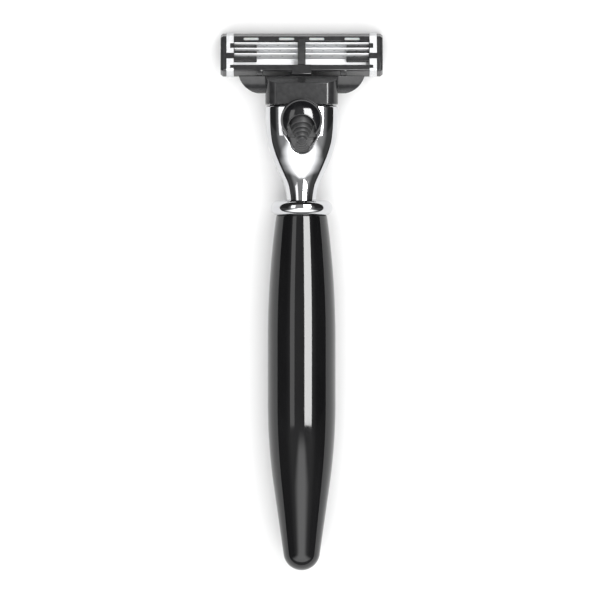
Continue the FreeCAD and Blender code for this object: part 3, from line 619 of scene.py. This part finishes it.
def slope_point(edge, along, out):
    """A point on a blade's plane: along from its edge, and out from its shaving side."""
    return (edge + along * math.cos(BLADE_SLOPE) - out * math.sin(BLADE_SLOPE),
            BLADE_W + along * math.sin(BLADE_SLOPE) + out * math.cos(BLADE_SLOPE))


def blade_outline(edge):
    """Thin steel, ground and then honed to its edge from both sides."""
    places = ((0, 1 / 2), (HONE_END, 1 / 4), (GROUND_END, 0), (BLADE_LONG, 0),
              (BLADE_LONG, 1), (GROUND_END, 1), (HONE_END, 3 / 4))
    return [slope_point(edge, along, share * BLADE_THICK) for along, share in places]


def make_blades():
    for number in range(3):
        edge = BLADE_FIRST + number * BLADE_PITCH
        name = f"blade_{number + 1}"
        blade = prism(f"{name}_skin", blade_outline(edge), -BLADE_HALF, BLADE_HALF, UNIT, "X", 5)
        dress(blade, "blade", name, "blade_steel", name)
        support = prism(f"{name}_support_skin", support_outline(edge), -LEG_HALF, LEG_HALF, UNIT, "X", 25)
        ears = []
        for side in (-1, 1):
            low, high = sorted((side * LEG_HALF, side * BLADE_HALF))
            ears.append(prism(f"{name}_ear", platform_outline(edge), low, high, UNIT, "X", 25))
        join(support, ears)
        dress(support, "support", name, "support_steel", f"blade_support_{number + 1}")
        weld_marks(number, edge)


def platform_outline(edge):
    """The strip under the blade, up to where it begins to bend."""
    low, high = BLADE_THICK, BLADE_THICK + STEEL_THICK
    return [slope_point(edge, PLATFORM_START, low), slope_point(edge, PLATFORM_END, low),
            slope_point(edge, PLATFORM_END, high), slope_point(edge, PLATFORM_START, high)]


def support_outline(edge):
    """Platform, rounded bend and leg of one bent strip."""
    outer_v, inner_v = edge + LEG_BACK, edge + LEG_BACK - STEEL_THICK
    low, high = BLADE_THICK, BLADE_THICK + STEEL_THICK
    outer_start, outer_rise, inner_start, inner_rise = 0.315, 0.45, 0.12, 0.16
    outer_steps, inner_steps = 8, 6
    corner = (outer_v, slope_point(edge, BEND_OUT, low)[1])
    outside = [quadratic(slope_point(edge, BEND_OUT - outer_start, low), corner,
                         (outer_v, corner[1] + outer_rise), step / outer_steps)
               for step in range(outer_steps + 1)]
    inner_corner = (inner_v, slope_point(edge, BEND_IN, high)[1])
    inside = [quadratic((inner_v, inner_corner[1] + inner_rise), inner_corner,
                        slope_point(edge, BEND_IN - inner_start, high), step / inner_steps)
              for step in range(inner_steps + 1)]
    return [slope_point(edge, PLATFORM_START, low), *outside, (outer_v, LEG_TOP), (inner_v, LEG_TOP),
            *inside, slope_point(edge, PLATFORM_START, high)]


def quadratic(a, b, c, share):
    """A point on the curve from a to c that is drawn towards b."""
    weights = ((1 - share) ** 2, 2 * share * (1 - share), share ** 2)
    return tuple(sum(weight * part for weight, part in zip(weights, parts)) for parts in zip(a, b, c))


def weld_marks(number, edge):
    """Small oval spot welds in a row along the leg, further out on each blade in turn."""
    face_v = edge + LEG_BACK - STEEL_THICK
    marks = []
    for side in (-1, 1):
        for step in range(WELDS_EACH_SIDE):
            middle = WELD_START + WELD_SHIFT * number + step * WELD_PITCH
            if middle <= WELD_LIMIT:
                marks.append(weld_disc(f"weld_{number}_{side}_{step}", side * middle, face_v))
    dress(join(marks[0], marks[1:]), "weld", f"blade_{number + 1}", "support_steel")


def weld_disc(name, middle, face_v):
    """One weld: a shallow button on the face of the leg that looks towards the guard."""
    points, top_share, sunk, proud = 16, 0.6, 0.01, 0.02
    angles = [2 * math.pi * step / points for step in range(points)]
    bm = bmesh.new()
    base, top = ([bm.verts.new((middle + share * WELD_LONG * math.cos(a), height,
                                WELD_W + share * WELD_WIDE * math.sin(a))) for a in angles]
                 for share, height in ((1, face_v + sunk), (top_share, face_v - proud)))
    bm.faces.new(base)
    bm.faces.new(top)
    closed_band(bm, base, top)
    return mesh_object(name, bm, UNIT)


def make_cartridge():
    moulded("blade_housing", "plastic", "cartridge", "black_plastic", 0.07)
    moulded("lubricating_strip", "strip", "cartridge", "strip_white", 0.08)
    moulded("guard_fins", "fins", "cartridge", "fin_black", 0.025)
    for side in ("left", "right"):
        moulded(f"{side}_clip", "clip", "cartridge", "clip_aluminium", 0.05)
    make_blades()


def make_connector():
    moulded("interconnect", "plastic", "connector", "black_plastic", 0.12, 3)
    moulded("docking_post", "plastic", "handle", "black_plastic", 0.08)
    moulded("plunger", "plastic", "plunger", "black_plastic", 0.08)


def dress_inner_nodes():
    """The hidden nodes keep their CAD shape."""
    for node, look in (("grip_insert", "brass"), ("neck_stud", "steel"), ("plunger_spring", "steel")):
        frame["nodes"][node].material_slots[0].material = LOOKS[look].material


# ---------------------------------------------------------------- studio

def area_light(name, across, along, radiance, seen_in="glossy", distance=1.6):
    """A soft box that covers a span of angles from the zenith, to the right and towards the head."""
    side, ahead = sum(across) / 2, sum(along) / 2
    back = Vector((math.tan(math.radians(side)), math.tan(math.radians(ahead)), 1)).normalized()
    length = (Vector((0, 1, 0)) - back * back.y).normalized()
    light = bpy.data.lights.new(name, "AREA")
    light.shape = "RECTANGLE"
    light.size = 2 * distance * math.tan(math.radians((across[1] - across[0]) / 2))
    light.size_y = 2 * distance * math.tan(math.radians((along[1] - along[0]) / 2))
    light.energy = radiance * math.pi * light.size * light.size_y
    lamp = new_object(name, light)
    lamp.matrix_world = (Matrix.Translation(back * distance)
                         @ Matrix((length.cross(back), length, back)).transposed().to_4x4())
    lamp.visible_camera = False
    lamp.visible_diffuse = seen_in == "diffuse"
    lamp.visible_glossy = seen_in == "glossy"
    return lamp


def make_studio():
    reach, thick = 3000, 5
    corners = [(-reach, -reach), (reach, -reach), (reach, reach), (-reach, reach)]
    floor = prism("floor", corners, -thick, 0, Matrix.Scale(MM, 4))
    look = Look("paper_floor", Specular_IOR_Level=0.2)
    look.tones(look.noise(40.0), (0.86, 0.86, 0.86), (0.88, 0.88, 0.88))
    look.rough(look.noise(3.0), 0.75, 0.85)
    floor.data.materials.append(look.material)
    make_room()
    area_light("right_strip", (9, 35), (-5, 40), 16.0)
    area_light("left_strip", (-40, -24), (-4, 36), 1.6)
    area_light("overhead", (-48, 48), (-48, 48), 1.05, "diffuse", 2.0)
    area_light("key", (20, 50), (10, 50), 1.6, "diffuse", 2.0)
    bpy.context.scene.view_settings.view_transform = "Standard"


def math_node(tree, kind, *terms):
    """A sum on numbers and sockets."""
    node = tree.nodes.new("ShaderNodeMath")
    node.operation = kind
    for socket, term in zip(node.inputs, terms):
        if isinstance(term, float):
            socket.default_value = term
        else:
            tree.links.new(term, socket)
    return node.outputs["Value"]


def make_room():
    """A grey room, lighter overhead than near the floor, with a wide soft window beyond the tail."""
    world = bpy.data.worlds.new("studio")
    world.use_nodes = True
    tree = world.node_tree

    def soft_step(value, start, end, low, high):
        return map_range(tree, value, (start, end), (low, high), "SMOOTHSTEP")

    split = tree.nodes.new("ShaderNodeSeparateXYZ")
    tree.links.new(tree.nodes.new("ShaderNodeTexCoord").outputs["Generated"], split.inputs["Vector"])
    right, ahead, up = (split.outputs[axis] for axis in "XYZ")
    room = soft_step(up, 0.56, 0.84, 0.03, 0.33)
    height = math_node(tree, "MAXIMUM", up, 0.05)
    behind = math_node(tree, "DIVIDE", math_node(tree, "MULTIPLY", ahead, -1.0), height)
    length = math_node(tree, "MAXIMUM", math_node(tree, "ABSOLUTE", ahead), 0.01)
    aside = math_node(tree, "DIVIDE", math_node(tree, "ABSOLUTE", right), length)
    sill, lintel = soft_step(behind, 0.10, 0.20, 0.0, 2.4), soft_step(behind, 1.7, 2.6, 1.0, 0.1)
    window = math_node(tree, "MULTIPLY", sill, lintel)
    window = math_node(tree, "MULTIPLY", window, soft_step(aside, 0.5, 1.9, 1.0, 0.02))
    background = tree.nodes["Background"]
    tree.links.new(math_node(tree, "ADD", room, window), background.inputs["Strength"])
    background.inputs["Color"].default_value = (1, 1, 1, 1)
    bpy.context.scene.world = world


def make_camera():
    """Straight above the razor, far enough away to flatten the view."""
    lens, sensor, frame_wide = 500.0, 36.0, 0.1535
    aim_x, aim_y, aim_z = -0.00042, 0.00026, 0.012
    camera = bpy.data.cameras.new("camera")
    camera.lens, camera.sensor_width = lens, sensor
    holder = new_object("camera", camera)
    holder.location = (aim_x, aim_y, aim_z + frame_wide * lens / sensor)
    camera.clip_start, camera.clip_end = 0.01, 10
    bpy.context.scene.camera = holder


make_camera()
make_handle()
make_neck()
make_button()
make_connector()
make_cartridge()
dress_inner_nodes()
make_studio()
